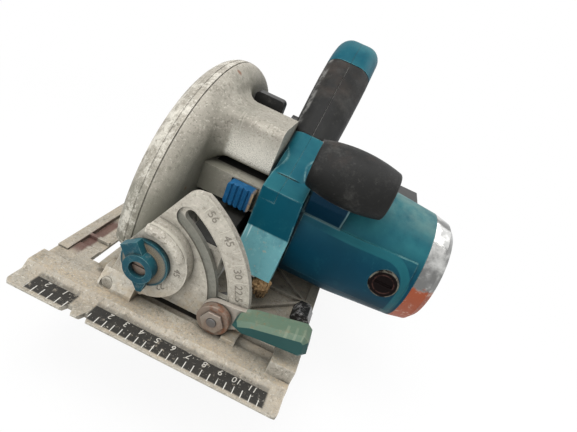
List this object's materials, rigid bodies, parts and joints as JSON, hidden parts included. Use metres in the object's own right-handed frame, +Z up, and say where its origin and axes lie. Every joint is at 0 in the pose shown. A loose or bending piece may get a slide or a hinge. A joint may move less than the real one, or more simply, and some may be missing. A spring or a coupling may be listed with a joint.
{
  "type": "cordless circular saw",
  "caption": "Hand-held battery circular saw: cast blade guard, cross-mounted motor, D-shaped rear handle, front grip and a tilting sole with a bevel quadrant and depth hinge.",
  "frame": {"origin": "on the underside of the sole, in the blade plane, straight under the spindle", "axes": "+X towards the motor, +Y towards the rear, +Z up from the sole"},
  "size_m": [0.2325, 0.298, 0.2384],
  "materials": {
    "cast": "worn casting",
    "steel": "worn",
    "iron": "matte",
    "chrome": "polished",
    "teal_plastic": "satin",
    "green_plastic": "worn",
    "blue_plastic": "ribbed",
    "black_plastic": "satin",
    "rubber": "worn",
    "brass": "plain",
    "cell": "sleeved"
  },
  "bodies": {
    "base": {"base_plate": "cast", "bevel_quadrant": "cast", "quadrant_screws": "steel", "bevel_pins": "steel"},
    "stop_knob_body": {"stop_knob": "teal_plastic", "stop_screw": "steel"},
    "fence_screw_body": {"fence_screw": "black_plastic"},
    "bevel_frame": {"angle_bracket": "cast", "depth_pin": "steel", "bevel_bolt": "steel", "rear_angle_plate": "cast", "depth_guide": "steel"},
    "bevel_lever_body": {"bevel_lever": "steel", "lever_grip": "green_plastic", "bevel_washer": "steel", "bevel_nut": "steel"},
    "head": {"blade_case": "cast", "front_bearing": "steel", "rear_bearing": "steel", "motor_housing": "teal_plastic", "motor_cap": "chrome", "cap_screws": "steel", "stator_yoke": "iron", "magnets": "iron", "shaft_bearings": "steel", "brush_sleeves": "black_plastic", "brushes": "black_plastic", "brush_caps": "black_plastic", "depth_bolt": "steel", "handle_left": "teal_plastic", "handle_right": "teal_plastic", "rubber_left": "rubber", "rubber_right": "rubber", "handle_screws": "steel", "switch": "black_plastic", "front_grip": "rubber", "battery_mount": "black_plastic", "terminals": "brass"},
    "spindle_body": {"spindle": "steel", "drive_gear": "steel", "inner_flange": "steel", "blade": "steel", "outer_flange": "steel", "blade_bolt": "steel"},
    "armature": {"armature_shaft": "steel", "armature_core": "iron", "commutator": "brass", "fan": "black_plastic"},
    "lower_guard_body": {"lower_guard": "cast"},
    "trigger_body": {"trigger": "black_plastic"},
    "lockoff": {"lockoff_button": "black_plastic"},
    "shaft_lock_body": {"shaft_lock": "blue_plastic"},
    "depth_lever_body": {"depth_lever": "steel", "depth_pad": "black_plastic"},
    "battery": {"battery_case": "black_plastic", "battery_cells": "cell"},
    "latch": {"battery_latch": "black_plastic"}
  },
  "joints": [
    {"name": "stop_turn", "type": "hinge", "parent": "base", "child": "stop_knob_body", "pos_m": [0.0245, -0.121, 0.037], "axis": [0, -1, 0], "range_deg": [0, 90]},
    {"name": "fence_turn", "type": "hinge", "parent": "base", "child": "fence_screw_body", "pos_m": [0.12, -0.095, 0.012], "axis": [0, -1, 0], "range_deg": [-180, 180]},
    {"name": "bevel", "type": "hinge", "parent": "base", "child": "bevel_frame", "pos_m": [0.006, -0.107, 0.012], "axis": [0, -1, 0], "range_deg": [0, 56]},
    {"name": "bevel_lever_turn", "type": "hinge", "parent": "bevel_frame", "child": "bevel_lever_body", "pos_m": [0.07192, -0.112, 0.01811], "axis": [0, -1, 0], "range_deg": [0, 45]},
    {"name": "depth", "type": "hinge", "parent": "bevel_frame", "child": "head", "pos_m": [0.046, -0.094, 0.045], "axis": [1, 0, 0], "range_deg": [0, 30]},
    {"name": "spindle_spin", "type": "hinge", "parent": "head", "child": "spindle_body", "pos_m": [0, 0, 0.031], "axis": [1, 0, 0], "continuous": true},
    {"name": "armature_spin", "type": "hinge", "parent": "head", "child": "armature", "pos_m": [0, -0.019, 0.05724], "axis": [1, 0, 0], "continuous": true},
    {"name": "guard_swing", "type": "hinge", "parent": "head", "child": "lower_guard_body", "pos_m": [0, 0, 0.031], "axis": [1, 0, 0], "range_deg": [0, 125], "stiffness_Nm_per_rad": 0.15, "springref_deg": -57.3},
    {"name": "trigger_pull", "type": "slide", "parent": "head", "child": "trigger_body", "axis": [0, -0.6561, 0.7547], "range_m": [0, 0.006], "stiffness_N_per_m": 500, "springref_m": -0.002},
    {"name": "lockoff_push", "type": "slide", "parent": "head", "child": "lockoff", "axis": [1, 0, 0], "range_m": [0, 0.003], "stiffness_N_per_m": 400, "springref_m": -0.001},
    {"name": "shaft_lock_push", "type": "slide", "parent": "head", "child": "shaft_lock_body", "axis": [0, 1, 0], "range_m": [0, 0.005], "stiffness_N_per_m": 400, "springref_m": -0.001},
    {"name": "depth_lever_turn", "type": "hinge", "parent": "head", "child": "depth_lever_body", "pos_m": [0.036, 0.04412, 0.02213], "axis": [-1, 0, 0], "range_deg": [0, 35]},
    {"name": "battery_slide", "type": "slide", "parent": "head", "child": "battery", "axis": [1, 0, 0], "range_m": [0, 0.115]},
    {"name": "latch_press", "type": "slide", "parent": "battery", "child": "latch", "axis": [0, 0, -1], "range_m": [0, 0.004], "stiffness_N_per_m": 400, "springref_m": -0.001}
  ],
  "couplings": [
    {"joint": "armature_spin", "follows": "spindle_spin", "ratio": -3.5}
  ]
}
